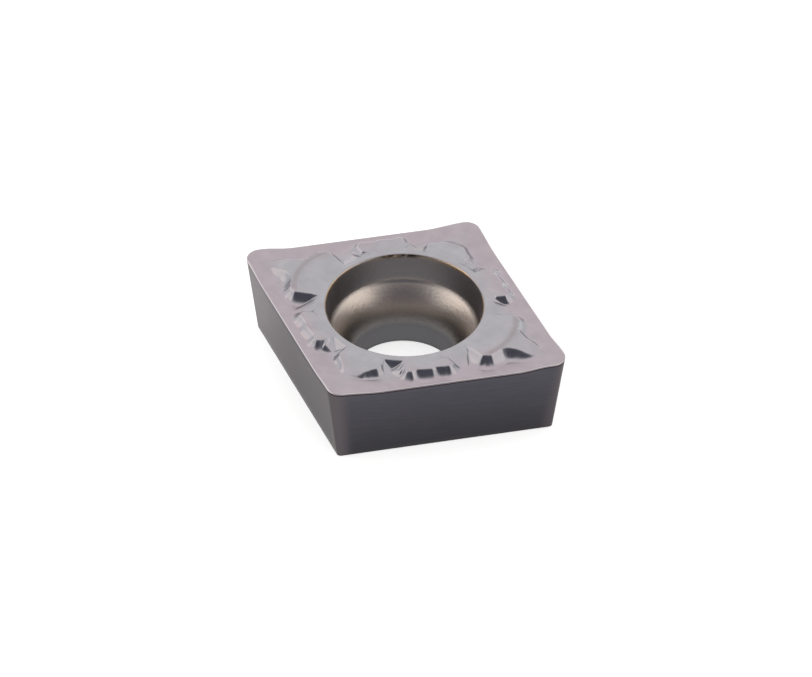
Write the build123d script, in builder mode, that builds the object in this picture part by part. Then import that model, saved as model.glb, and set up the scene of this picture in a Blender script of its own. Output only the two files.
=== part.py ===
from build123d import *
import os
from math import cos, radians, sin, sqrt, tan

# An indexable carbide insert: an 80 degree rhombus with a positive flank, a moulded
# chip breaker on its upper face and a countersunk hole for the clamping screw.
# Millimetres. Z is up, the origin is the middle of the seating face, on the hole's axis.
# The 80 degree noses point along +X and -X, the 100 degree ones along +Y and -Y.

# Body
inscribed_circle = 6.35
thickness = 2.38  # seating face to the noses
corner_angle = 80
relief_angle = 7
nose_radius = 0.4

# Cutting edges and rake faces
edge_dip = 0.09  # how far each edge sinks below its noses
edge_dip_radius = 4.0
nose_level_length = 0.55  # from the sharp corner, where the edge is at nose height
rake_angle = 4

# Plateau round the hole: a ring, and lobes that rise away from it
plateau_rise = 0.08  # the ring above the noses
lobe_rise = 0.04  # the lobes' crests above the ring
dish_angle = 5.5
wall_draft = 27
plateau_root = 0.45  # from the crests down into the body
ring_land = 0.2

# Lobe at each 80 degree nose, from the nose's sharp corner: (setback, half width)
acute_lobe = [(1.70, 0.0), (1.88, 0.60), (1.94, 0.83), (2.13, 0.95), (2.23, 0.92), (2.57, 0.78)]
acute_lobe_root = 0.73  # its half width where it reaches the hole
# Lobe behind each cutting edge, in blocks: (x, y) with the edge at edge_datum from the axis
edge_datum = 3.175
edge_blocks = [
    [(1.62, 1.50), (2.01, 1.43), (2.21, 1.55), (2.20, 1.72), (1.30, 2.36), (1.10, 2.12), (0.98, 1.95)],
    [(2.01, 1.43), (2.21, 1.55), (2.23, 1.66), (2.21, 1.71), (2.09, 1.79), (1.95, 1.83), (1.75, 1.70)],
    [(1.75, 1.80), (1.88, 1.98), (1.82, 2.06), (1.51, 2.25), (1.35, 2.05)],
    [(1.30, 2.10), (1.48, 2.30), (1.45, 2.40), (1.34, 2.42), (1.22, 2.30), (1.12, 2.15)],
]

# Ramps that fall from the lobes to the 80 degree noses and from the ring to the 100 degree ones
acute_ramp = [(0.99, 0.0), (1.09, 0.18), (1.25, 0.235), (1.49, 0.265), (1.70, 0.37), (1.84, 0.47)]
acute_ramp_start = 1.74
acute_ramp_angle = 13
obtuse_ramp = [(1.05, 0.0), (1.15, 0.29), (1.26, 0.34), (1.47, 0.56), (1.58, 0.60), (1.73, 0.57)]
obtuse_ramp_start = 1.645
obtuse_ramp_angle = 11
obtuse_ramp_end = 1.28
obtuse_ramp_end_angle = 26

# Ramp that closes the inner end of the notch beside each 80 degree lobe: (x, y)
notch_ramp = [
    (1.90, 0.55), (2.16, 0.55), (2.25, 0.71), (2.43, 1.08), (2.60, 1.45), (2.10, 1.62), (1.80, 1.50),
]
notch_ramp_start = (2.15, 0.85)
notch_ramp_facing = 22
notch_ramp_angle = 31

# Hole for the clamping screw
bore_diameter = 2.8
recess_diameter = 4.2  # at the plateau
recess_draft = 9
recess_straight_depth = 0.77
seat_tangent_height = 0.45

os.makedirs("parts", exist_ok=True)

half_angle = radians(corner_angle / 2)
edge_distance = inscribed_circle / 2
acute_corner = edge_distance / sin(half_angle)
obtuse_corner = edge_distance / cos(half_angle)
edge_normal = Vector(sin(half_angle), cos(half_angle))
edge_direction = Vector(-cos(half_angle), sin(half_angle))
plateau_height = thickness + plateau_rise
crest_height = plateau_height + lobe_rise
bore_radius = bore_diameter / 2
recess_radius = recess_diameter / 2
spare = 1.0  # how far a cut runs past the solid


def rhombus(inset):
    """Sharp corners of the body's outline, drawn in by an inset."""
    share = 1 - inset / edge_distance
    x, y = acute_corner * share, obtuse_corner * share
    return [(x, 0), (0, y), (-x, 0), (0, -y)]


def mirrored(points):
    """An outline that is symmetric about the X axis, from its half above the axis."""
    return points + [(x, -y) for x, y in reversed(points) if y > 0]


with BuildPart() as rake_cutter:
    # Clears one quadrant above its rake face, which follows the dipped cutting edge
    edge_start = edge_direction.dot(Vector(acute_corner, 0))
    edge_end = edge_direction.dot(Vector(0, obtuse_corner))
    dip_run = sqrt(2 * edge_dip_radius * edge_dip - edge_dip**2)
    low = thickness - edge_dip
    dip_start = edge_start + nose_level_length
    dip_end = edge_end - nose_level_length
    lift = spare * tan(radians(rake_angle))
    crest = thickness + lift
    trough = low + lift
    with BuildSketch(
        Plane(origin=edge_normal * (edge_distance + spare), x_dir=edge_direction, z_dir=edge_normal)
    ):
        with BuildLine():
            start = Line((edge_start - spare, crest), (dip_start, crest))
            down = RadiusArc(start @ 1, (dip_start + dip_run, trough), -edge_dip_radius)
            bottom = Line(down @ 1, (dip_end - dip_run, trough))
            up = RadiusArc(bottom @ 1, (dip_end, crest), -edge_dip_radius)
            end = Line(up @ 1, (edge_end + spare, crest))
            above = crest + spare
            Polyline(end @ 1, (edge_end + spare, above), (edge_start - spare, above), start @ 0)
        make_face()
    fall = Vector(-edge_normal.X, -edge_normal.Y, -tan(radians(rake_angle)))
    extrude(amount=(edge_distance + spare) * fall.length, dir=fall)
    with BuildSketch():
        Polygon((0, 0), (acute_corner + spare, 0), (0, obtuse_corner + spare), align=None)
    extrude(amount=above, mode=Mode.INTERSECT)

with BuildPart() as island:
    # Plateau round the hole: a ring, the lobes at the noses and the lobes at the edges
    top = Plane.XY.offset(crest_height)
    with BuildSketch(top):
        Circle(recess_radius + ring_land)
    extrude(amount=-plateau_root, taper=-wall_draft)
    with BuildSketch(top):
        lobe = [(acute_corner - setback, width) for setback, width in acute_lobe]
        lobe = [(reach, width) for reach, width in lobe if reach > recess_radius]
        Polygon(*mirrored(lobe + [(recess_radius, acute_lobe_root)]), align=None)
    extrude(amount=-plateau_root, taper=-wall_draft)
    follow = edge_normal * (edge_distance - edge_datum)
    for block in edge_blocks:
        with BuildSketch(top):
            Polygon(*[(x + follow.X, y + follow.Y) for x, y in block], align=None)
        extrude(amount=-plateau_root, taper=-wall_draft)
    # The ring lies lower, and the lobes rise from it
    with BuildSketch(Plane.XZ):
        ring_edge = recess_radius + ring_land
        dish_edge = ring_edge + (lobe_rise + spare) / tan(radians(dish_angle))
        above = crest_height + spare
        Polygon((0, plateau_height), (ring_edge, plateau_height), (dish_edge, above), (0, above), align=None)
    revolve(axis=Axis.Z, mode=Mode.SUBTRACT)
    mirror(about=Plane.XZ)
    mirror(about=Plane.YZ)

with BuildPart() as acute_wedge:
    # Ramp from an 80 degree lobe down to its nose
    with BuildSketch(Plane.XY.offset(crest_height)):
        ramp = [(acute_corner - setback, width) for setback, width in acute_ramp]
        root = (acute_corner - acute_ramp_start - ring_land, acute_ramp[-1][1])
        Polygon(*mirrored(ramp + [root]), align=None)
    extrude(amount=-plateau_root, taper=-wall_draft)
    ramp_top = (acute_corner - acute_ramp_start, 0, crest_height)
    split(bisect_by=Plane(ramp_top).rotated((0, acute_ramp_angle, 0)), keep=Keep.BOTTOM)

with BuildPart() as obtuse_wedge:
    # Ramp from the ring down to a 100 degree nose, steeper at its end
    with BuildSketch(Plane.XY.offset(plateau_height)):
        ramp = [(obtuse_corner - setback, width) for setback, width in obtuse_ramp]
        root = (obtuse_corner - obtuse_ramp_start - ring_land, obtuse_ramp[-1][1])
        Polygon(*[(-y, x) for x, y in mirrored(ramp + [root])], align=None)
    extrude(amount=-plateau_root, taper=-wall_draft)
    ramp_top = (0, obtuse_corner - obtuse_ramp_start, plateau_height)
    split(bisect_by=Plane(ramp_top).rotated((-obtuse_ramp_angle, 0, 0)), keep=Keep.BOTTOM)
    end_drop = (obtuse_ramp_start - obtuse_ramp_end) * tan(radians(obtuse_ramp_angle))
    ramp_end = (0, obtuse_corner - obtuse_ramp_end, plateau_height - end_drop)
    split(bisect_by=Plane(ramp_end).rotated((-obtuse_ramp_end_angle, 0, 0)), keep=Keep.BOTTOM)

with BuildPart() as notch_wedge:
    # Ramp from the ring down into the notch beside an 80 degree lobe
    with BuildSketch(Plane.XY.offset(plateau_height)):
        Polygon(*notch_ramp, align=None)
    extrude(amount=-plateau_root, taper=-wall_draft)
    facing = radians(notch_ramp_facing)
    tilt = radians(notch_ramp_angle)
    ramp_normal = (sin(tilt) * cos(facing), sin(tilt) * sin(facing), cos(tilt))
    ramp_top = (notch_ramp_start[0], notch_ramp_start[1], plateau_height)
    split(bisect_by=Plane(origin=ramp_top, z_dir=ramp_normal), keep=Keep.BOTTOM)
    mirror(about=Plane.XZ)
    mirror(about=Plane.YZ)

with BuildPart() as insert_body:
    # Positive body: the nose radius shrinks with the flanks towards the seating face
    for height in (0, thickness):
        inset = (thickness - height) * tan(radians(relief_angle))
        with BuildSketch(Plane.XY.offset(height)) as outline:
            Polygon(*rhombus(inset), align=None)
            fillet(outline.vertices(), nose_radius - inset)
    loft(ruled=True)

    # Rake faces
    cutter = rake_cutter.part
    for tool in (cutter, cutter.mirror(Plane.YZ)):
        add(tool, mode=Mode.SUBTRACT)
        add(tool.mirror(Plane.XZ), mode=Mode.SUBTRACT)

    # Plateau
    add(island.part)

    # Ramps
    add(acute_wedge.part)
    add(acute_wedge.part.mirror(Plane.YZ))
    add(obtuse_wedge.part)
    add(obtuse_wedge.part.mirror(Plane.XZ))
    add(notch_wedge.part)

    # Hole: drafted recess, bell-mouthed seat and a plain bore
    recess_floor = plateau_height - recess_straight_depth
    recess_floor_radius = recess_radius - recess_straight_depth * tan(radians(recess_draft))
    with BuildSketch(Plane.XZ):
        with BuildLine():
            wall = Polyline((0, -spare), (bore_radius, -spare), (bore_radius, seat_tangent_height))
            seat = TangentArc(wall @ 1, (recess_floor_radius, recess_floor), tangent=(0, 1))
            rim_radius = recess_radius + spare * tan(radians(recess_draft))
            above = plateau_height + spare
            Polyline(seat @ 1, (rim_radius, above), (0, above), (0, -spare))
        make_face()
    revolve(axis=Axis.Z, mode=Mode.SUBTRACT)

insert_body.part.label = "insert_body"
export_step(insert_body.part, "parts/insert_body.step")
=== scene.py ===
import math

import bmesh
import bpy
import numpy as np
from mathutils import Matrix, Vector


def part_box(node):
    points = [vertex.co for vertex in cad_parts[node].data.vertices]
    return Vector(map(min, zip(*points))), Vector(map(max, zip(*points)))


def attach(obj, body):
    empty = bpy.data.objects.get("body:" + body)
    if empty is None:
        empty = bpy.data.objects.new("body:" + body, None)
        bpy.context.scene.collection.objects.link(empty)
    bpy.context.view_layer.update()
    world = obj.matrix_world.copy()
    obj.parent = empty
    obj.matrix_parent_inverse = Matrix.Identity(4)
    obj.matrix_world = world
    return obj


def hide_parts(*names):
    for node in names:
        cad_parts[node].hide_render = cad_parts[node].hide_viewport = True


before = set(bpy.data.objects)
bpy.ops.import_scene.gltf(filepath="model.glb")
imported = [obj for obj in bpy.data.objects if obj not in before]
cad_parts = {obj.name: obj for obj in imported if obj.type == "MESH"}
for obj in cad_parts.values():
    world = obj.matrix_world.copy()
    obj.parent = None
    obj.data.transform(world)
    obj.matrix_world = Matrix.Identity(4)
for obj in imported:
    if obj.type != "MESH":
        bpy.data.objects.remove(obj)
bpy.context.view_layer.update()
mm = 0.001  # the insert's own sizes are in millimetres
print("frame loaded", sorted(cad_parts))


def srgb(hexText):
    # sRGB hex value to the linear colour that the shaders take
    channels = [int(hexText[i:i + 2], 16) / 255 for i in (0, 2, 4)]
    linear = [c / 12.92 if c <= 0.04045 else ((c + 0.055) / 1.055) ** 2.4 for c in channels]
    return (*linear, 1.0)


def addNode(tree, kind, links=None, **settings):
    # a shader node with its settings, and its inputs linked or set
    node = tree.nodes.new(kind)
    for name, value in settings.items():
        setattr(node, name, value)
    for socket, value in (links or {}).items():
        if isinstance(value, bpy.types.NodeSocket):
            tree.links.new(value, node.inputs[socket])
        else:
            node.inputs[socket].default_value = value
    return node


def direction(azimuth, rise):
    # unit vector away from the insert, round from -Y towards +X and up from the floor
    return Vector((
        math.sin(azimuth) * math.cos(rise),
        -math.cos(azimuth) * math.cos(rise),
        math.sin(rise),
    ))


# Camera: angles in degrees, the lens in millimetres, shifts in picture widths, the rest in metres
view = {
    "azimuth": 26.896,
    "elevation": 40.480,
    "roll": -0.700,
    "distance": 0.150427,
    "lens": 248.755,
    "shiftRight": 0.00289,
    "shiftUp": 0.04477,
    "clipNear": 0.01,
    "clipFar": 10,
}


def makeCamera():
    azimuth, elevation, roll = (math.radians(view[name]) for name in ("azimuth", "elevation", "roll"))
    back = direction(azimuth, elevation)
    right = Vector((math.cos(azimuth), math.sin(azimuth), 0))
    up = back.cross(right)
    turned = Matrix((
        right * math.cos(roll) - up * math.sin(roll),
        right * math.sin(roll) + up * math.cos(roll),
        back,
    )).transposed()
    data = bpy.data.cameras.new("photoView")
    data.lens = view["lens"]
    data.shift_x = view["shiftRight"]
    data.shift_y = view["shiftUp"]
    data.clip_start = view["clipNear"]
    data.clip_end = view["clipFar"]
    camera = bpy.data.objects.new("photoView", data)
    camera.matrix_world = Matrix.Translation(back * view["distance"]) @ turned.to_4x4()
    bpy.context.scene.collection.objects.link(camera)
    bpy.context.scene.camera = camera


makeCamera()
print("camera placed")

# The insert's form, in millimetres, in the quadrant between +X and +Y

form = {
    "cornerAngle": 80,
    "reliefAngle": 7,
    "noseRadius": 0.4,
    "thickness": 2.38,
    "edgeDip": 0.09,
    "noseLevel": 0.55,  # from an 80 degree corner, where the edge is still at nose height
    "bluntLevel": 0.25,  # and from a 100 degree corner
    "dipRun": 0.85,
    "rakeAngle": 4,
    "landWidth": 0.12,
    "landAngle": 2,
    "wallAngle": 62,
    "softTop": 0.045,  # rounding of the relief's upper edges
    "softCorner": 0.06,  # of the hollow corners between its blocks
    "softFoot": 0.36,  # of the plateau's feet
    "softTip": 0.25,  # of the feet round the spears and pads
    "softBend": 0.04,  # of the bend between two planes
    "softFall": 0.05,  # of the bend where a spear or pad starts to fall
    "ringHeight": 2.455,
    "ringLand": 0.2,
    "dishAngle": 5.5,  # the lobes rise away from the ring
    "recessRadius": 2.1,
    "recessDraft": 9,
    "recessDepth": 0.77,
    "boreRadius": 1.4,
    "boreChamfer": 0.02,
    "seatTangentHeight": 0.45,
    "rimRound": 0.05,
    "edgeHone": 0.02,
    "honeShare": 0.3,  # how far the hone's middle lies from the sharp edge, in hones
    "wallSlope": (0.4, 1.0),  # slopes between which a face turns into a wall, which gets painted shade
    "wallInset": (0.2, 0.3),  # where the walls start, in from the cutting edge
    "noseFlank": (0.1, 0.52),  # where a nose's flank fades out, from its corner
    "edgePasses": 3,  # after which the cutting edge's place is settled
    "quarterSteps": 180,  # steps of the grid, round a quarter and along its section
    "boreShares": (0.35, 0.7),  # of the bore's height
    "seatSteps": 14,
    "recessShares": (0.04, 0.3, 0.6, 0.9),  # of its wall's height
    "rimSteps": 4,
    "topSteps": 86,
    "flankSteps": 14,
    "bottomSteps": 5,
}

# Lobe at each 80 degree nose, as (setback from the sharp corner, half width)
acuteLobe = {
    "outline": [
        (1.70, 0.0), (1.76, 0.30), (1.88, 0.60), (1.94, 0.83), (2.03, 0.91), (2.13, 0.95), (2.23, 0.92),
        (2.57, 0.78), (3.0, 0.70),
    ],
    "spearBlend": 0.08,
    "spearBehind": 2.98,  # x where the spear's top dips under the lobe
    "spearRound": 0.02,
    "crestSetback": 3.44,  # centre of the arc where the lobe's crest falls to the spear
    "crestRadius": 1.62,
    "crestFall": 22,
    "bandWidth": 0.085,  # painted shade: a darker band along that arc
    "bandSides": (0.75, 0.95),  # y over which it fades out
    "bandStart": (2.6, 2.8),  # x over which it fades in
}
# Lobe behind each cutting edge, in blocks, as (x, y)
edgeBlocks = [
    [
        (1.62, 1.50), (2.01, 1.43), (2.21, 1.55), (2.20, 1.72), (1.30, 2.36), (1.10, 2.12), (0.98, 1.95),
    ],
    [
        (2.01, 1.43), (2.21, 1.55), (2.23, 1.66), (2.21, 1.71), (2.13, 1.74), (2.09, 1.79), (1.95, 1.83),
        (1.75, 1.70),
    ],
    [
        (1.75, 1.80), (1.88, 1.98), (1.86, 2.03), (1.82, 2.06), (1.72, 2.13), (1.59, 2.21), (1.51, 2.25),
        (1.35, 2.05),
    ],
    [
        (1.30, 2.10), (1.48, 2.30), (1.45, 2.40), (1.40, 2.41), (1.34, 2.42), (1.22, 2.30), (1.12, 2.15),
    ],
]
# Spear on each 80 degree nose and pad on each 100 degree nose, as (setback, half width)
spear = {
    "outline": [
        (0.99, 0.0), (1.01, 0.09), (1.09, 0.18), (1.25, 0.235), (1.49, 0.265), (1.60, 0.315),
        (1.70, 0.37), (1.84, 0.47), (1.89, 0.63), (1.95, 0.66),
    ],
    "height": 2.52,
    "start": 1.74,
    "fall": 11.5,
    "end": 1.35,
    "endFall": 17,
}
pad = {
    "outline": [
        (1.05, 0.0), (1.09, 0.20), (1.15, 0.29), (1.26, 0.34), (1.38, 0.45), (1.47, 0.56), (1.58, 0.60),
        (1.73, 0.57), (1.90, 0.55),
    ],
    "height": 2.475,
    "start": 1.645,
    "fall": 11,
    "end": 1.24,
    "endFall": 32,
}
# Ramps that close the notches: beside each 80 degree lobe, and on both sides of the notch beside each pad
notchRamps = [
    {
        "outline": [
            (1.90, 0.55), (2.16, 0.55), (2.25, 0.71), (2.43, 1.08), (2.60, 1.45), (2.10, 1.62), (1.80, 1.50),
        ],
        "start": (2.15, 0.85),
        "facing": (0.93, 0.37),
        "height": 2.455,
        "fall": 31,
        "soft": 0.10,
    },
    {
        "outline": [(0.80, 1.95), (1.10, 1.95), (1.20, 2.28), (1.12, 2.42), (0.85, 2.45)],
        "start": (1.09, 2.14),
        "facing": (-0.90, 0.44),
        "height": 2.46,
        "fall": 38,
        "soft": 0.04,
    },
    {
        "outline": [(0.40, 2.20), (0.60, 2.20), (0.95, 2.50), (0.80, 2.75), (0.50, 2.60)],
        "start": (0.47, 2.33),
        "facing": (0.80, 0.60),
        "height": 2.455,
        "fall": 36,
        "soft": 0.04,
    },
]
# Creases pressed into the relief, as (start, end, half width, depth)
creases = [
    ((0.54, 2.37), (0.75, 2.57), 0.018, 0.018),
    ((1.07, 2.14), (1.05, 2.34), 0.018, 0.018),
    ((2.03, 1.27), (2.33, 1.45), 0.05, 0.016),
]


def slope(angle):
    return math.tan(math.radians(angle))


half = math.radians(form["cornerAngle"] / 2)
relief = slope(form["reliefAngle"])
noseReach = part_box("insert_body")[1].x / mm
edgeDistance = (noseReach - form["noseRadius"]) * math.sin(half) + form["noseRadius"]
acuteCorner = edgeDistance / math.sin(half)
obtuseCorner = edgeDistance / math.cos(half)


def fromEdge(x, y):
    # distance along the quadrant's cutting edge from its middle, and in from it
    along = -x * math.cos(half) + y * math.sin(half)
    inset = edgeDistance - x * math.sin(half) - y * math.cos(half)
    return along, inset


def smoothMax(a, b, soft):
    return np.maximum(a, b) + np.maximum(soft - np.abs(a - b), 0) ** 2 / (4 * soft)


def past(value, soft=form["softBend"]):
    # how far a value is past zero, with a soft corner
    return smoothMax(value, 0, soft)


def smoothStep(low, high, value):
    share = np.clip((value - low) / (high - low), 0, 1)
    return share * share * (3 - 2 * share)


def segmentDistance(x, y, start, end):
    (ax, ay), (bx, by) = start, end
    ex, ey = bx - ax, by - ay
    share = np.clip(((x - ax) * ex + (y - ay) * ey) / (ex * ex + ey * ey), 0, 1)
    return np.hypot(x - ax - ex * share, y - ay - ey * share)


def outlineDistance(x, y, points):
    # distance outside a closed outline, negative inside it
    nearest = np.full(x.shape, np.inf)
    inside = np.zeros(x.shape, bool)
    for start, end in zip(points, points[1:] + points[:1]):
        nearest = np.minimum(nearest, segmentDistance(x, y, start, end))
        (ax, ay), (bx, by) = start, end
        if ay != by:
            inside ^= ((ay > y) != (by > y)) & (x < ax + (bx - ax) * (y - ay) / (by - ay))
    return np.where(inside, -nearest, nearest)


def bothSides(points, alongY=False):
    # outline that is symmetric about an axis, from (setback, half width) of a nose
    corner = obtuseCorner if alongY else acuteCorner
    halfLine = [(corner - setback, width) for setback, width in points]
    line = halfLine + [(reach, -width) for reach, width in reversed(halfLine) if width]
    return [(width, reach) for reach, width in line] if alongY else line


def walled(top, distance):
    # surface with a sloping wall round its outline
    return top - slope(form["wallAngle"]) * past(distance, form["softTop"])


def edgeHeight(along):
    # height of the cutting edge, which dips between its noses
    fromAcute = along + acuteCorner * math.cos(half)
    fromObtuse = obtuseCorner * math.sin(half) - along
    deep = form["noseLevel"] + form["dipRun"]
    dip = smoothStep(form["noseLevel"], deep, fromAcute) * smoothStep(form["bluntLevel"], deep, fromObtuse)
    return form["thickness"] - form["edgeDip"] * dip


def rakeHeight(x, y):
    along, inset = fromEdge(x, y)
    beyondLand = past(inset - form["landWidth"])
    landFall, rakeFall = slope(form["landAngle"]), slope(form["rakeAngle"])
    return edgeHeight(along) - landFall * inset - (rakeFall - landFall) * beyondLand


def fallingTop(reach, corner, shape):
    # top of a spear or pad, which falls to its nose and more steeply at its end
    start = past(reach - corner + shape["start"], form["softFall"])
    end = past(reach - corner + shape["end"], form["softFall"])
    return shape["height"] - slope(shape["fall"]) * start - slope(shape["endFall"]) * end


def facingTop(x, y, shape):
    # top of a ramp, which falls the way it faces
    (startX, startY), (facingX, facingY) = shape["start"], shape["facing"]
    ahead = past((x - startX) * facingX + (y - startY) * facingY, shape["soft"])
    return shape["height"] - slope(shape["fall"]) * ahead


def topHeight(x, y):
    # height of the upper face
    x, y = np.abs(x), np.abs(y)
    radius = np.hypot(x, y)
    ringEdge = form["recessRadius"] + form["ringLand"]
    dish = form["ringHeight"] + slope(form["dishAngle"]) * past(radius - ringEdge)

    outside = radius - ringEdge
    for points in edgeBlocks:
        outside = -smoothMax(-outside, -outlineDistance(x, y, points), form["softCorner"])
    raised = walled(dish, outside)
    crestCentre = acuteCorner - acuteLobe["crestSetback"]
    crest = past(np.hypot(x - crestCentre, y) - acuteLobe["crestRadius"])
    crestFall = slope(acuteLobe["crestFall"])
    lobeTop = dish - crestFall * crest
    spearTop = fallingTop(x, acuteCorner, spear) - crestFall * past(acuteLobe["spearBehind"] - x)
    lobeOutside = outlineDistance(x, y, bothSides(acuteLobe["outline"]))
    spearOutside = outlineDistance(x, y, bothSides(spear["outline"]))
    noseOutside = -smoothMax(-lobeOutside, -spearOutside, acuteLobe["spearBlend"])
    raised = np.maximum(raised, walled(smoothMax(lobeTop, spearTop, acuteLobe["spearRound"]), noseOutside))

    height = smoothMax(rakeHeight(x, y), raised, form["softFoot"])
    for top, points in (
        (fallingTop(y, obtuseCorner, pad), bothSides(pad["outline"], True)),
        *((facingTop(x, y, ramp), ramp["outline"]) for ramp in notchRamps),
    ):
        shape = walled(top, outlineDistance(x, y, points))
        height = np.maximum(height, smoothMax(rakeHeight(x, y), shape, form["softTip"]))
    for start, end, halfWidth, depth in creases:
        height = height - depth * np.exp(-(segmentDistance(x, y, start, end) / halfWidth) ** 2)
    return height


def outlineReach(angle, z):
    # how far the flank lies from the hole's axis, in a direction and at a height
    x, y = np.abs(np.cos(angle)), np.abs(np.sin(angle))
    inset = (form["thickness"] - z) * relief
    rho = edgeDistance - inset
    nose = form["noseRadius"] - inset
    reach = rho / (x * math.sin(half) + y * math.cos(half))
    along = reach * (-x * math.cos(half) + y * math.sin(half))
    acuteCentre = (rho - nose) / math.sin(half)
    obtuseCentre = (rho - nose) / math.cos(half)
    acuteArc = acuteCentre * x + np.sqrt(np.maximum(nose ** 2 - (acuteCentre * y) ** 2, 0))
    obtuseArc = obtuseCentre * y + np.sqrt(np.maximum(nose ** 2 - (obtuseCentre * x) ** 2, 0))
    reach = np.where(along < -acuteCentre * math.cos(half), acuteArc, reach)
    return np.where(along > obtuseCentre * math.sin(half), obtuseArc, reach)


def edgePlace(angle):
    # reach and height of the cutting edge in a direction, closed in on together
    height = np.full(angle.shape, form["thickness"])
    for _ in range(form["edgePasses"]):
        reach = outlineReach(angle, height)
        height = topHeight(reach * np.cos(angle), reach * np.sin(angle))
    return reach, height


def boreProfile():
    # (radius, height) up the hole, from the seating face to the rim
    boreRadius, chamfer = form["boreRadius"], form["boreChamfer"]
    tangentHeight = form["seatTangentHeight"]
    rimRadius, rimRound, rimHeight = form["recessRadius"], form["rimRound"], form["ringHeight"]
    draft = slope(form["recessDraft"])
    floorHeight = rimHeight - form["recessDepth"]
    floorRadius = rimRadius - form["recessDepth"] * draft
    points = [(boreRadius + chamfer, 0.0), (boreRadius, chamfer)]
    points += [(boreRadius, tangentHeight * share) for share in form["boreShares"]]
    rise = floorHeight - tangentHeight
    run = floorRadius - boreRadius
    arcRadius = (run ** 2 + rise ** 2) / (2 * run)
    turn = 2 * math.atan2(run, rise)
    for step in range(form["seatSteps"] + 1):
        angle = turn * step / form["seatSteps"]
        points.append((
            boreRadius + arcRadius * (1 - math.cos(angle)),
            tangentHeight + arcRadius * math.sin(angle),
        ))
    for share in form["recessShares"]:
        above = (form["recessDepth"] - rimRound) * share
        points.append((floorRadius + above * draft, floorHeight + above))
    lowRim = rimRadius - rimRound * draft
    for step in range(form["rimSteps"]):
        angle = math.pi / 2 * step / form["rimSteps"]
        points.append((
            lowRim + rimRound * (1 - math.cos(angle)),
            rimHeight - rimRound + rimRound * math.sin(angle),
        ))
    return points


def crestShadeMask(x, y):
    # soft band of painted shade along the arc where an 80 degree lobe's crest falls to the spear
    x, y = np.abs(x), np.abs(y)
    crestCentre = acuteCorner - acuteLobe["crestSetback"]
    away = np.hypot(x - crestCentre, y) - acuteLobe["crestRadius"]
    band = np.exp(-(away / acuteLobe["bandWidth"]) ** 2)
    return band * (1 - smoothStep(*acuteLobe["bandSides"], y)) * smoothStep(*acuteLobe["bandStart"], x)


def steepness(x, y):
    # tangent of the upper face's slope
    step = 0.01
    across = topHeight(x + step, y) - topHeight(x - step, y)
    along = topHeight(x, y + step) - topHeight(x, y - step)
    return np.hypot(across, along) / (2 * step)


def makeGrid(stations):
    # closed section, spun round a quarter and mirrored, with each vertex's station on the section
    bm = bmesh.new()
    station = bm.verts.layers.float.new("station")
    ring = []
    for index in range(stations):
        turn = 2 * math.pi * index / stations
        vert = bm.verts.new((3 - math.cos(turn), 0, 1 + math.sin(turn)))  # a circle clear of the axis
        vert[station] = index
        ring.append(vert)
    edges = [bm.edges.new((a, b)) for a, b in zip(ring, ring[1:] + ring[:1])]
    bmesh.ops.spin(
        bm, geom=ring + edges, cent=(0, 0, 0), axis=(0, 0, 1), dvec=(0, 0, 0),
        angle=math.pi / 2, steps=form["quarterSteps"], use_merge=False, use_duplicate=False,
    )
    for axis in ("X", "Y"):
        bmesh.ops.mirror(bm, geom=bm.verts[:] + bm.edges[:] + bm.faces[:], axis=axis, merge_dist=0.0001)
    mesh = bpy.data.meshes.new("insertBody")
    bm.to_mesh(mesh)
    bm.free()
    return mesh


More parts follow.
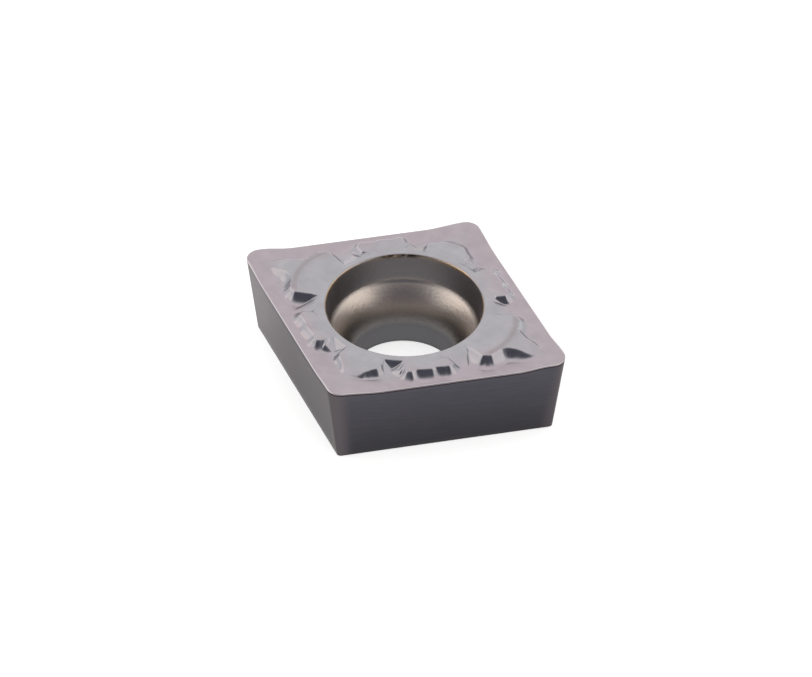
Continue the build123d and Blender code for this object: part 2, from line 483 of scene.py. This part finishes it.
def makeInsertMesh():
    # grid set up the hole, out over the upper face, down the flanks and back below
    bore = boreProfile()
    rimLevel = len(bore)
    flankLevel = rimLevel + form["topSteps"] + 1
    bottomLevel = flankLevel + form["flankSteps"]
    mesh = makeGrid(bottomLevel + form["bottomSteps"])
    count = len(mesh.vertices)
    co = np.zeros(count * 3)
    mesh.vertices.foreach_get("co", co)
    co = co.reshape(-1, 3)
    level = np.zeros(count, np.float32)
    mesh.attributes["station"].data.foreach_get("value", level)
    level = np.rint(level).astype(int)
    angle = np.arctan2(co[:, 1], co[:, 0])
    radius, z, inset, crest, nose, wall = (np.zeros(count) for _ in range(6))

    inBore = level < rimLevel
    profile = np.array(bore)
    radius[inBore] = profile[level[inBore], 0]
    z[inBore] = profile[level[inBore], 1]

    # upper face, from the rim to the honed cutting edge
    onTop = (level >= rimLevel) & (level < flankLevel)
    turn = angle[onTop]
    hone = form["edgeHone"]
    inner = form["recessRadius"] + form["rimRound"] * (1 - slope(form["recessDraft"]))
    outer = edgePlace(turn)[0] - hone
    radius[onTop] = inner + (outer - inner) * (level[onTop] - rimLevel) / form["topSteps"]
    x, y = radius[onTop] * np.cos(turn), radius[onTop] * np.sin(turn)
    z[onTop] = topHeight(x, y)
    inset[onTop] = fromEdge(np.abs(x), np.abs(y))[1]
    # masks for painted shade: the crest's band and the relief's steep walls
    crest[onTop] = crestShadeMask(x, y)
    wall[onTop] = smoothStep(*form["wallSlope"], steepness(x, y))
    wall[onTop] *= smoothStep(*form["wallInset"], inset[onTop])

    # flanks, from the hone's middle to just above the seating face
    onFlank = (level >= flankLevel) & (level < bottomLevel)
    turn = angle[onFlank]
    reach, edgeZ = edgePlace(turn)
    step, last = level[onFlank] - flankLevel, form["flankSteps"] - 1
    drop = hone + (edgeZ - 2 * hone) * (step / last * form["flankSteps"] - 1) / last
    drop = np.where(step == 0, hone * form["honeShare"], drop)
    drop = np.where(step == last, edgeZ - hone, drop)
    z[onFlank] = edgeZ - drop
    inset[onFlank] = -drop
    x, y = np.abs(np.cos(turn)) * reach, np.abs(np.sin(turn)) * reach
    fromCorner = np.minimum(np.hypot(acuteCorner - x, y), np.hypot(x, obtuseCorner - y))
    nose[onFlank] = 1 - smoothStep(*form["noseFlank"], fromCorner)
    pull = np.where(step == 0, hone * form["honeShare"], 0)
    radius[onFlank] = outlineReach(turn, z[onFlank]) - pull

    # seating face, at height 0
    below = level >= bottomLevel
    outer = outlineReach(angle[below], 0) - hone
    inner = form["boreRadius"] + form["boreChamfer"]
    radius[below] = outer + (inner - outer) * (level[below] - bottomLevel) / form["bottomSteps"]

    co[:, 0] = radius * np.cos(angle)
    co[:, 1] = radius * np.sin(angle)
    co[:, 2] = z
    mesh.vertices.foreach_set("co", (co * mm).ravel())

    masks = {
        "inset": inset,
        "crest": crest,
        "wall": wall,
        "nose": nose,
        "rim": (level >= rimLevel - form["rimSteps"]) & (level < rimLevel - 1),
        "flank": level > flankLevel,
        "bore": inBore,
    }
    for name, values in masks.items():
        attribute = mesh.attributes.new(name, "FLOAT", "POINT")
        attribute.data.foreach_set("value", values.astype(np.float32))
    mesh.attributes.remove(mesh.attributes["station"])
    mesh.update()
    return mesh


def makeInsert():
    mesh = makeInsertMesh()
    bm = bmesh.new()
    bm.from_mesh(mesh)
    bmesh.ops.recalc_face_normals(bm, faces=bm.faces)
    bm.to_mesh(mesh)
    bm.free()
    mesh.shade_smooth()
    insert = bpy.data.objects.new("insertBody", mesh)
    bpy.context.scene.collection.objects.link(insert)
    return insert


insert = makeInsert()
print("insert modelled", len(insert.data.polygons), "faces")


# The coating's colours and the painted shade and highlight laid over them, with their places and pattern
# widths in millimetres
coating = {
    "rim": "b2a7ac",
    "middle": "aeacb0",
    "middleRange": (0.25, 1.05),  # in from the cutting edges, where rim turns to middle
    "cloudWidth": 1.111,
    "cloudSway": 1.0,  # how far the clouds shift this change
    "mottleWidth": 0.3846,
    "mottleShade": 0.06,
    # painted shade in the bend where a lobe's crest falls to the spear
    "crestShade": "988d90",
    "crestShadeStrength": 0.6,
    # painted shade on the relief's steep walls
    "wall": "a4a3a9",
    "edgeHighlight": "d2cbcd",
    "edgeRange": (0.02, 0.05),  # in from the cutting edges, where the painted highlight ends
    # painted shade: a dark line under the cutting edges
    "underEdgeShade": "33292e",
    "underRange": (-0.09, -0.055),  # under the cutting edges, where the painted shade ends
    "underStart": (-1.5, 0.0),  # x over which it fades in
    # flanks painted darker than the top: partly their ground finish, partly painted shade for what they
    # mirror, darker still towards the seating face
    "flankTop": "4b4a51",
    "flankFootShade": "3b3a3e",
    "flankRise": 2.2,
    "streakLength": 0.7143,  # of the grinding streaks, which run along the flanks
    "streakWidth": 0.05102,  # about the grinding wheel's grit
    "streakShade": 0.07,
    "flankAway": "716e73",
    "awayRange": (-2.0, -4.5),  # x over which the flanks pale towards the nose at -X
    "noseFlank": "575255",
    # the hole's foot and recess wall darker than its seat: partly its own tone, partly painted shade
    "boreFootShade": "666567",
    "seat": "cdc3ba",
    "seatRange": (0.6, 1.4),  # heights over which the bore turns to the seat
    "recessShade": "9f9da1",
    "recessShadeRange": (1.6, 1.8),
    "rimTintAndHighlight": "cfb595",  # pale gold on the rim: the coating's tint there and painted highlight, in patches
    "rimPatchRange": (0.33, 0.53),  # of the clouds, over which it shows
    # painted dark reflection, broken into flecks, along the far side of the rim
    "farRimShade": "4a4540",
    "farRimSide": (-0.51, 0.86, 0.0),  # the side of the rim, away from the camera, that gets painted dark reflection
    "farRimRange": (2.00, 2.07),  # out to that side, where the painted dark reflection fades in
    "fleckWidth": 0.1429,
    "fleckRange": (0.35, 0.50),  # of the flecks, over which they show
    "edgeTint": "d4d1d1",
    "topRoughness": 0.24,
    "boreRoughness": 0.36,
    "grainWidth": 0.07143,
    "grainDepth": 0.0065,
    "topGrain": 0.3,  # of the grain's depth, outside the hole
}


def noiseScale(width):
    # scale of a noise from the width of its patches in millimetres
    return 1 / (width * mm)


def makeMaterial():
    # violet-grey coating, laid on the sintered and ground carbide from the vapour: a dark satin metal that
    # mirrors softly, with the ground flanks streaked and the hole left as sintered; painted shade and painted
    # highlight are laid over it in places
    material = bpy.data.materials.new("coatedCementedCarbide")
    material.use_nodes = True
    tree = material.node_tree
    tree.nodes.clear()
    names = ("inset", "crest", "wall", "nose", "rim", "flank", "bore")
    masks = {name: addNode(tree, "ShaderNodeAttribute", attribute_name=name).outputs["Fac"] for name in names}
    place = addNode(tree, "ShaderNodeTexCoord").outputs["Object"]
    axes = addNode(tree, "ShaderNodeSeparateXYZ", {0: place}).outputs
    usual = {"From Min": 0.3, "From Max": 0.7}  # where nearly all of a noise lies

    # upper face
    cloud = addNode(tree, "ShaderNodeTexNoise", {
        "Vector": place, "Scale": noiseScale(coating["cloudWidth"]), "Detail": 3,
    }).outputs["Fac"]
    sway = addNode(tree, "ShaderNodeMath", {0: cloud, 1: coating["cloudSway"], 2: masks["inset"]},
                   operation="MULTIPLY_ADD").outputs[0]
    low, high = (value + coating["cloudSway"] / 2 for value in coating["middleRange"])
    inwards = addNode(tree, "ShaderNodeMapRange", {"Value": sway, "From Min": low, "From Max": high},
                      interpolation_type="SMOOTHSTEP").outputs[0]
    top = addNode(tree, "ShaderNodeMix", {
        0: inwards, 6: srgb(coating["rim"]), 7: srgb(coating["middle"]),
    }, data_type="RGBA").outputs[2]
    mottle = addNode(tree, "ShaderNodeTexNoise", {
        "Vector": place, "Scale": noiseScale(coating["mottleWidth"]), "Detail": 4,
    }).outputs["Fac"]
    shade = addNode(tree, "ShaderNodeMapRange", {
        **usual, "Value": mottle, "To Min": 1 - coating["mottleShade"], "To Max": 1 + coating["mottleShade"],
    }).outputs[0]
    top = addNode(tree, "ShaderNodeVectorMath", {0: top, "Scale": shade}, operation="SCALE").outputs[0]
    crestShaded = addNode(tree, "ShaderNodeMath", {0: masks["crest"], 1: coating["crestShadeStrength"]},
                     operation="MULTIPLY").outputs[0]
    # painted highlight along the cutting edges
    low, high = coating["edgeRange"]
    onEdgeHighlight = addNode(tree, "ShaderNodeMapRange", {
        "Value": masks["inset"], "From Min": low, "From Max": high, "To Min": 1.0, "To Max": 0.0,
    }, interpolation_type="SMOOTHSTEP").outputs[0]
    # painted shade on the crest band and the walls, and painted highlight along the cutting edges
    for share, name in ((crestShaded, "crestShade"), (masks["wall"], "wall"), (onEdgeHighlight, "edgeHighlight")):
        top = addNode(tree, "ShaderNodeMix", {0: share, 6: top, 7: srgb(coating[name])},
                      data_type="RGBA").outputs[2]

    # flanks
    # painted shade: the flanks darken towards the seating face
    rise = addNode(tree, "ShaderNodeMapRange", {
        "Value": axes["Z"], "From Max": coating["flankRise"] * mm,
    }).outputs[0]
    side = addNode(tree, "ShaderNodeMix", {
        0: rise, 6: srgb(coating["flankFootShade"]), 7: srgb(coating["flankTop"]),
    }, data_type="RGBA").outputs[2]
    thinness = coating["streakLength"] / coating["streakWidth"]
    flattened = addNode(tree, "ShaderNodeVectorMath", {0: place, 1: (1, 1, thinness)},
                        operation="MULTIPLY").outputs[0]
    streak = addNode(tree, "ShaderNodeTexNoise", {
        "Vector": flattened, "Scale": noiseScale(coating["streakLength"]), "Detail": 3,
    }).outputs["Fac"]
    shade = addNode(tree, "ShaderNodeMapRange", {
        **usual, "Value": streak, "To Min": 1 - coating["streakShade"], "To Max": 1 + coating["streakShade"],
    }).outputs[0]
    side = addNode(tree, "ShaderNodeVectorMath", {0: side, "Scale": shade}, operation="SCALE").outputs[0]
    low, high = (value * mm for value in coating["awayRange"])
    away = addNode(tree, "ShaderNodeMapRange", {"Value": axes["X"], "From Min": low, "From Max": high},
                   interpolation_type="SMOOTHSTEP").outputs[0]
    # painted shade as a dark line under the cutting edges, on the +X side only
    low, high = coating["underRange"]
    underShade = addNode(tree, "ShaderNodeMapRange", {
        "Value": masks["inset"], "From Min": low, "From Max": high,
    }, interpolation_type="SMOOTHSTEP").outputs[0]
    low, high = (value * mm for value in coating["underStart"])
    near = addNode(tree, "ShaderNodeMapRange", {"Value": axes["X"], "From Min": low, "From Max": high},
                   interpolation_type="SMOOTHSTEP").outputs[0]
    underShade = addNode(tree, "ShaderNodeMath", {0: underShade, 1: near}, operation="MULTIPLY").outputs[0]
    for share, name in ((away, "flankAway"), (masks["nose"], "noseFlank"), (underShade, "underEdgeShade")):
        side = addNode(tree, "ShaderNodeMix", {0: share, 6: side, 7: srgb(coating[name])},
                       data_type="RGBA").outputs[2]

    # hole: the bore's foot and the recess wall darker than the seat, partly the bare hole's own tone and
    # partly painted shade
    inner = srgb(coating["boreFootShade"])
    for name in ("seat", "recessShade"):
        low, high = (value * mm for value in coating[name + "Range"])
        share = addNode(tree, "ShaderNodeMapRange", {
            "Value": axes["Z"], "From Min": low, "From Max": high,
        }).outputs[0]
        inner = addNode(tree, "ShaderNodeMix", {0: share, 6: inner, 7: srgb(coating[name])},
                        data_type="RGBA").outputs[2]
    low, high = coating["rimPatchRange"]
    rimPatches = addNode(tree, "ShaderNodeMapRange", {"Value": cloud, "From Min": low, "From Max": high}).outputs[0]
    # painted dark reflection on the far side of the rim, broken into flecks
    farRimReach = addNode(tree, "ShaderNodeVectorMath", {0: place, 1: coating["farRimSide"]},
                        operation="DOT_PRODUCT").outputs["Value"]
    low, high = (value * mm for value in coating["farRimRange"])
    farRimArc = addNode(tree, "ShaderNodeMapRange", {
        "Value": farRimReach, "From Min": low, "From Max": high,
    }).outputs[0]
    flecks = addNode(tree, "ShaderNodeTexNoise", {
        "Vector": place, "Scale": noiseScale(coating["fleckWidth"]), "Detail": 2,
    }).outputs["Fac"]
    low, high = coating["fleckRange"]
    farRimShading = addNode(tree, "ShaderNodeMapRange", {
        "Value": flecks, "From Min": low, "From Max": high,
    }).outputs[0]
    farRimShading = addNode(tree, "ShaderNodeMath", {0: farRimShading, 1: farRimArc}, operation="MULTIPLY").outputs[0]

    colour = top
    for share, other in ((masks["flank"], side), (masks["bore"], inner)):
        colour = addNode(tree, "ShaderNodeMix", {0: share, 6: colour, 7: other}, data_type="RGBA").outputs[2]
    # painted highlight and painted dark reflection on the rim
    for share, name in ((rimPatches, "rimTintAndHighlight"), (farRimShading, "farRimShade")):
        onRim = addNode(tree, "ShaderNodeMath", {0: share, 1: masks["rim"]}, operation="MULTIPLY").outputs[0]
        colour = addNode(tree, "ShaderNodeMix", {0: onRim, 6: colour, 7: srgb(coating[name])},
                         data_type="RGBA").outputs[2]

    rough = addNode(tree, "ShaderNodeMapRange", {
        "Value": masks["bore"], "To Min": coating["topRoughness"], "To Max": coating["boreRoughness"],
    }).outputs[0]
    notTop = addNode(tree, "ShaderNodeMath", {0: masks["flank"], 1: masks["bore"]},
                     operation="ADD").outputs[0]
    tint = addNode(tree, "ShaderNodeMix", {0: notTop, 6: (1, 1, 1, 1), 7: srgb(coating["edgeTint"])},
                   data_type="RGBA").outputs[2]
    # the sintered grain is a thousandth of a millimetre wide, so it is drawn coarser to show
    grain = addNode(tree, "ShaderNodeTexNoise", {
        "Vector": place, "Scale": noiseScale(coating["grainWidth"]), "Detail": 3,
    }).outputs["Fac"]
    depth = addNode(tree, "ShaderNodeMapRange", {
        "Value": masks["bore"], "To Min": coating["topGrain"], "To Max": 1.0,
    }).outputs[0]
    bump = addNode(tree, "ShaderNodeBump", {
        "Height": grain, "Strength": depth, "Distance": coating["grainDepth"] * mm,
    }).outputs[0]
    shader = addNode(tree, "ShaderNodeBsdfPrincipled", {
        "Base Color": colour, "Metallic": 1.0, "Roughness": rough, "Specular Tint": tint, "Normal": bump,
    })
    addNode(tree, "ShaderNodeOutputMaterial", {"Surface": shader.outputs["BSDF"]})
    return material


insert.data.materials.append(makeMaterial())
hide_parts("insert_body")
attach(insert, "root")
print("material made")

# Studio, with lengths in metres and angles in degrees

studio = {
    "floorSize": 1.0,
    "floorDrop": 0.00001,  # under the seating face
    "floorGrey": 0.9,
    "floorGlow": 0.6,  # only where the floor is seen or mirrored
    "fill": 0.72,  # the tent's light on what scatters it
    "cardDistance": 0.09,
    "cardMiddle": 28,  # above the floor
    "cardDark": 0.050,  # from the middle, where the shade starts to fade
    "cardPale": 0.093,  # and where it ends
    "cardShade": "65656e",
    "cardWidth": 120,
    "cardLow": 1,
    "cardHigh": 85,
    "cardSteps": 16,
    "boxDistance": 0.25,
    "boxTurns": (84, -96),  # round from the camera
    "boxRise": 33,
    "boxWidth": 0.19,
    "boxHeight": 0.15,
    "boxPowers": (0.034, 0.042),
    "boxColour": "ffe6d4",
}


def seenDirectly(tree, otherwise, value):
    # a value for camera, glossy and transmission rays, and another one for the rest
    path = addNode(tree, "ShaderNodeLightPath").outputs
    either = addNode(tree, "ShaderNodeMath", {0: path["Is Camera Ray"], 1: path["Is Glossy Ray"]},
                     operation="MAXIMUM")
    any3 = addNode(tree, "ShaderNodeMath", {0: either.outputs[0], 1: path["Is Transmission Ray"]},
                   operation="MAXIMUM")
    return addNode(tree, "ShaderNodeMapRange", {
        "Value": any3.outputs[0], "To Min": otherwise, "To Max": value,
    }).outputs[0]


def makeFloor():
    bm = bmesh.new()
    bmesh.ops.create_grid(bm, x_segments=1, y_segments=1, size=studio["floorSize"])
    bmesh.ops.translate(bm, verts=bm.verts, vec=(0, 0, -studio["floorDrop"]))
    mesh = bpy.data.meshes.new("floor")
    bm.to_mesh(mesh)
    bm.free()
    floor = bpy.data.objects.new("floor", mesh)
    bpy.context.scene.collection.objects.link(floor)
    material = bpy.data.materials.new("whitePaper")
    material.use_nodes = True
    tree = material.node_tree
    tree.nodes.clear()
    grey = studio["floorGrey"]
    paper = addNode(tree, "ShaderNodeBsdfDiffuse", {"Color": (grey, grey, grey, 1)})
    glow = addNode(tree, "ShaderNodeEmission", {
        "Strength": seenDirectly(tree, 0.0, studio["floorGlow"]),
    })
    both = addNode(tree, "ShaderNodeAddShader", {0: paper.outputs[0], 1: glow.outputs[0]})
    addNode(tree, "ShaderNodeOutputMaterial", {"Surface": both.outputs[0]})
    mesh.materials.append(material)


def makeCard():
    # dark card below and round the camera, which the relief's steep walls mirror
    bm = bmesh.new()
    steps = studio["cardSteps"]
    azimuth = math.radians(view["azimuth"])
    start = azimuth - math.radians(studio["cardWidth"] / 2)
    low, high = math.radians(studio["cardLow"]), math.radians(studio["cardHigh"])
    arc = []
    for index in range(steps + 1):
        rise = low + (high - low) * index / steps
        arc.append(bm.verts.new(direction(start, rise) * studio["cardDistance"]))
    edges = [bm.edges.new(pair) for pair in zip(arc, arc[1:])]
    bmesh.ops.spin(
        bm, geom=arc + edges, cent=(0, 0, 0), axis=(0, 0, 1), dvec=(0, 0, 0),
        angle=math.radians(studio["cardWidth"]), steps=steps, use_merge=False, use_duplicate=False,
    )
    mesh = bpy.data.meshes.new("darkCard")
    bm.to_mesh(mesh)
    bm.free()
    card = bpy.data.objects.new("darkCard", mesh)
    card.visible_camera = False
    card.visible_diffuse = False
    bpy.context.scene.collection.objects.link(card)
    material = bpy.data.materials.new("darkPaper")
    material.use_nodes = True
    tree = material.node_tree
    tree.nodes.clear()
    place = addNode(tree, "ShaderNodeTexCoord")
    middle = direction(azimuth, math.radians(studio["cardMiddle"])) * studio["cardDistance"]
    away = addNode(tree, "ShaderNodeVectorMath", {0: place.outputs["Object"], 1: middle},
                   operation="DISTANCE").outputs["Value"]
    fade = addNode(tree, "ShaderNodeMapRange", {
        "Value": away, "From Min": studio["cardDark"], "From Max": studio["cardPale"],
    }, interpolation_type="SMOOTHSTEP").outputs[0]
    shade = addNode(tree, "ShaderNodeMix", {0: fade, 6: srgb(studio["cardShade"]), 7: (1, 1, 1, 1)},
                    data_type="RGBA").outputs[2]
    paper = addNode(tree, "ShaderNodeEmission", {"Color": shade, "Strength": 1.0})
    addNode(tree, "ShaderNodeOutputMaterial", {"Surface": paper.outputs[0]})
    mesh.materials.append(material)


def makeSoftBoxes():
    for turn, power in zip(studio["boxTurns"], studio["boxPowers"]):
        away = direction(math.radians(view["azimuth"] + turn), math.radians(studio["boxRise"]))
        data = bpy.data.lights.new("softBox", "AREA")
        data.shape = "RECTANGLE"
        data.size = studio["boxWidth"]
        data.size_y = studio["boxHeight"]
        data.energy = power
        data.color = srgb(studio["boxColour"])[:3]
        box = bpy.data.objects.new("softBox", data)
        turned = away.to_track_quat("Z", "Y").to_matrix().to_4x4()
        box.matrix_world = Matrix.Translation(away * studio["boxDistance"]) @ turned
        bpy.context.scene.collection.objects.link(box)


def makeWorld():
    world = bpy.data.worlds.new("tent")
    bpy.context.scene.world = world
    world.use_nodes = True
    tree = world.node_tree
    tree.nodes.clear()
    background = addNode(tree, "ShaderNodeBackground", {
        "Color": (1, 1, 1, 1), "Strength": seenDirectly(tree, studio["fill"], 1.0),
    })
    addNode(tree, "ShaderNodeOutputWorld", {"Surface": background.outputs[0]})


makeFloor()
makeCard()
makeSoftBoxes()
makeWorld()
bpy.context.scene.view_settings.view_transform = "Standard"
print("studio made")
